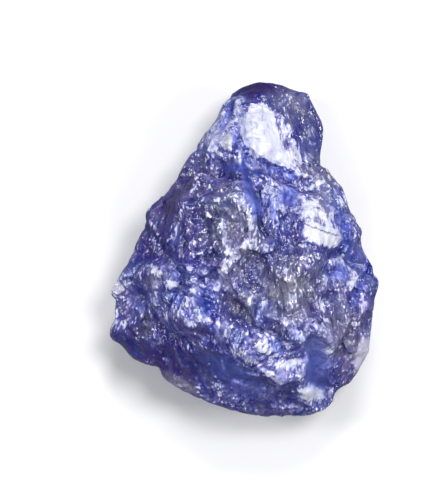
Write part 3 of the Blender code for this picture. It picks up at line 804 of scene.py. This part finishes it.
def sapphireMaterial():
    made = bpy.data.materials.new("sapphire")
    made.use_nodes = True
    tree = made.node_tree
    nodes, links = tree.nodes, tree.links
    shader = nodes["Principled BSDF"]
    look = sapphireLook

    def node(kind, **values):
        new = nodes.new(kind)
        for key, value in values.items():
            setattr(new, key, value)
        return new

    def fill(sockets, values):
        for socket, value in zip(sockets, values):
            if isinstance(value, bpy.types.NodeSocket):
                links.new(value, socket)
            elif value is not None:
                socket.default_value = value

    def zone(name):
        return node("ShaderNodeAttribute", attribute_name=name).outputs["Fac"]

    def rgba(value):
        return (*value, 1) if isinstance(value, tuple) else value

    def mix(factor, a, b):
        new = node("ShaderNodeMix", data_type="RGBA")
        fill((new.inputs["Factor"], new.inputs[6], new.inputs[7]), (factor, rgba(a), rgba(b)))
        return new.outputs[2]

    def calc(operation, a, b, clamp=False):
        new = node("ShaderNodeMath", operation=operation, use_clamp=clamp)
        fill(new.inputs, (a, b))
        return new.outputs[0]

    def times(a, b, clamp=False):
        return calc("MULTIPLY", a, b, clamp)

    def added(*values):
        made = values[0]
        for value in values[1:]:
            made = calc("ADD", made, value)
        return made

    def swing(value, amount):
        # up to half the amount above and below 0, for a value round a half
        return times(calc("SUBTRACT", value, 0.5), amount)

    def vectorMath(operation, a, b=None, scale=None):
        new = node("ShaderNodeVectorMath", operation=operation)
        fill((new.inputs[0], new.inputs[1], new.inputs[3]), (a, b, scale))
        return new.outputs[0]

    def remap(value, low, high, newLow=0.0, newHigh=1.0):
        new = node("ShaderNodeMapRange", interpolation_type="SMOOTHSTEP")
        fill(new.inputs, (value, low, high, newLow, newHigh))
        return new.outputs["Result"]

    def channel(colour, name):
        new = node("ShaderNodeSeparateColor")
        links.new(colour, new.inputs[0])
        return new.outputs[name]

    def lean(colour, strength):
        return vectorMath("SCALE", vectorMath("SUBTRACT", colour, (0.5, 0.5, 0.5)), scale=strength)

    def grained(stretch, turn=look["grainTurn"]):
        # place in mm along and across the grain, which bends over the stone
        mapping = node("ShaderNodeMapping")
        links.new(flow, mapping.inputs["Vector"])
        mapping.inputs["Scale"].default_value = (1, stretch, 1)
        mapping.inputs["Rotation"].default_value = (0, 0, math.radians(90 - turn))
        return mapping.outputs["Vector"]

    def cloud(scale, detail, roughness, stretch=1, turn=look["grainTurn"], output="Fac"):
        new = node("ShaderNodeTexNoise")
        links.new(grained(stretch, turn), new.inputs["Vector"])
        new.inputs["Scale"].default_value = scale
        new.inputs["Detail"].default_value = detail
        new.inputs["Roughness"].default_value = roughness
        return new.outputs[output]

    def facets(kind):
        # flat cells: a random colour for each, and the way from its middle
        scale, stretch = kind["scale"], kind["stretch"]
        push = lean(cloud(scale * 0.8, 2, 0.5, stretch, output="Color"), kind["warp"])
        moved = vectorMath("ADD", grained(stretch), push)
        cells = node("ShaderNodeTexVoronoi")
        links.new(moved, cells.inputs["Vector"])
        cells.inputs["Scale"].default_value = scale
        way = vectorMath("SUBTRACT", moved, cells.outputs["Position"])
        return cells.outputs["Color"], vectorMath("SCALE", way, scale=scale)

    def sideOf(cells):
        # from below 0 on one side of a cell to above 0 on the other
        colour, way = cells
        dot = node("ShaderNodeVectorMath", operation="DOT_PRODUCT")
        fill(dot.inputs, (lean(colour, 2.0), way))
        return dot.outputs["Value"]

    def shading(cells, kind):
        # tone of each cell at random, and a painted shade from one side of the cell to the other
        flatTone = swing(channel(cells[0], "Blue"), kind["tone"])
        return added(flatTone, times(sideOf(cells), kind["shade"]))

    def paintGlints(cells, kind):
        # painted glints: some of the cells, more of them in the foil, each painted bright on one
        # side
        chance = added(channel(cells[0], "Red"), times(foil, look["foilGlints"]))
        limit, soft = 1 - kind["glints"], look["glintEdge"]
        picked = remap(chance, limit - soft, limit + soft)
        return times(times(picked, remap(sideOf(cells), *look["glintSide"])), kind["glintTone"])

    def facetTilt(cells, kind):
        colour, way = cells
        curved = vectorMath("SCALE", way, scale=kind["curve"])
        return vectorMath("ADD", lean(colour, kind["lean"]), curved)

    place = node("ShaderNodeTexCoord")
    shape = node("ShaderNodeNewGeometry")
    inMm = vectorMath("SCALE", place.outputs["Object"], scale=1 / mm)
    bend = node("ShaderNodeTexNoise")
    links.new(inMm, bend.inputs["Vector"])
    bend.inputs["Scale"].default_value = look["bendScale"]
    bend.inputs["Detail"].default_value = 1
    flow = vectorMath("ADD", inMm, lean(bend.outputs["Color"], look["grainBend"]))
    tints = cloud(output="Color", **look["tints"])
    streaks = cloud(**look["streaks"])
    chips, grit = facets(look["chips"]), facets(look["grit"])
    # deep: darker, partly the body's deep colour, partly painted shade
    calm, foil, window, deep = zone("calm"), zone("foil"), zone("window"), zone("deep")
    royal, violet, raised = zone("royal"), zone("violet"), zone("raised")
    frostAndHighlight = remap(added(zone("frostAndHighlight"), swing(streaks, look["frostTear"])), *look["frostEdge"])
    rugged = remap(calm, 0.0, 1.0, 1.0, look["calmShare"])

    # random clouds, strands and cells, with painted shade across the cells and painted light and
    # shade by edges, lumps and the sides facing the light
    textureAndPaintedShade = added(
        swing(cloud(**look["clouds"]), look["cloudTone"]),
        swing(cloud(**look["strands"]), look["strandTone"]),
        shading(chips, look["chips"]),
        shading(grit, look["grit"]),
        swing(zone("edge"), look["edgeTone"]),
        swing(raised, look["raisedTone"]),
        swing(zone("lit"), look["litTone"]),
        swing(zone("swell"), look["swellTone"]),
    )
    # painted glints in clusters, on ridges, and few in windows and on the sides
    paintedGlints = added(
        paintGlints(chips, look["chips"]),
        paintGlints(grit, look["grit"]),
        times(remap(cloud(**look["glintDashes"]), *look["glintDashPick"]), look["glintDashTone"]),
    )
    crowd = added(remap(cloud(**look["clusters"]), *look["clusterPick"]), foil)
    ridges = times(remap(raised, *look["ridgeGlints"]), zone("open"))
    ridges = times(ridges, remap(window, 0.0, 1.0, 1.0, look["windowGlints"]))
    paintedGlints = times(paintedGlints, times(crowd, ridges), clamp=True)
    # the tone, with painted light, painted shade and painted glints in it
    tone = added(
        times(textureAndPaintedShade, rugged),
        times(paintedGlints, rugged),
        times(frostAndHighlight, look["frostAndHighlightTone"]),
        times(foil, look["foilTone"]),
        times(deep, -look["deepAndShadeTone"]),
        times(frostAndHighlight, swing(streaks, look["frostStreak"])),
        look["middleTone"],
    )
    ramp = node("ShaderNodeValToRGB")
    links.new(tone, ramp.inputs["Fac"])
    stops = ramp.color_ramp.elements
    while len(stops) < len(look["tones"]):
        stops.new(0.5)
    for stop, (position, value) in zip(stops, look["tones"]):
        stop.position = position
        stop.color = rgba(value)

    # hue and saturation drift over the stone, and the placed colours go over them
    saturation = added(
        times(zone("smoky"), -look["smokyGrey"]),
        look["saturation"],
        swing(channel(tints, "Blue"), look["saturationDrift"]),
        times(deep, look["deepSaturation"]),
    )
    hue = added(
        swing(cloud(**look["broad"]), -look["hueDrift"]),
        times(royal, look["royalHue"]),
        0.5,
        times(violet, look["violetHue"]),
        swing(channel(tints, "Red"), look["tintDrift"]),
    )
    drift = node("ShaderNodeHueSaturation")
    links.new(ramp.outputs["Color"], drift.inputs["Color"])
    links.new(saturation, drift.inputs["Saturation"])
    links.new(hue, drift.inputs["Hue"])
    colour = mix(times(royal, look["royalCover"]), drift.outputs["Color"], look["royal"])
    # painted light: the window's colour turns to its lit copy on bright tones
    clear = mix(remap(tone, *look["windowTones"]), look["window"], look["paintedWindowLight"])
    colour = mix(times(window, look["windowCover"]), colour, clear)
    # painted light on the rims
    colour = mix(zone("paintedRimLight"), colour, look["paintedRimLight"])
    colour = mix(zone("crease"), colour, look["crease"])
    links.new(colour, shader.inputs["Base Color"])

    # the brighter the tone, the less light goes through
    milky = added(times(window, look["windowMilk"]), times(zone("paintedRimLight"), look["rimMilk"]))
    cover = remap(added(tone, milky), *look["coverTones"])
    through = remap(cover, 0.0, 1.0, look["clearness"], look["frostClearness"])
    links.new(through, shader.inputs["Transmission Weight"])
    gloss = added(
        remap(channel(chips[0], "Green"), 0.1, 0.9, *look["roughness"]),
        times(calm, look["calmRoughness"]),
        times(cover, look["frostRoughness"]),
    )
    links.new(gloss, shader.inputs["Roughness"])
    shader.inputs["IOR"].default_value = look["refraction"]
    shader.inputs["Specular IOR Level"].default_value = look["shine"]

    # each facet leans its own way, and fine noise roughens it
    tilt = vectorMath("ADD", facetTilt(chips, look["chips"]), facetTilt(grit, look["grit"]))
    tilt = vectorMath("SCALE", tilt, scale=remap(calm, 0.0, 1.0, 1.0, look["calmLean"]))
    facetNormal = vectorMath("NORMALIZE", vectorMath("ADD", shape.outputs["Normal"], tilt))
    bump = node("ShaderNodeBump")
    bump.inputs["Strength"].default_value = look["bump"]
    bump.inputs["Distance"].default_value = look["bumpHeight"] * mm
    links.new(times(cloud(**look["fine"]), rugged), bump.inputs["Height"])
    links.new(facetNormal, bump.inputs["Normal"])
    links.new(bump.outputs["Normal"], shader.inputs["Normal"])

    absorb = node("ShaderNodeVolumeAbsorption")
    absorb.inputs["Color"].default_value = rgba(look["absorption"])
    absorb.inputs["Density"].default_value = look["absorptionPerMetre"]
    links.new(absorb.outputs["Volume"], nodes["Material Output"].inputs["Volume"])
    print("  material mixed")
    return made


placeCamera()
placeLights()
layFloor()
stone = makeStone()
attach(stone, "root")
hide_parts("sapphire")

print("stone dressed")
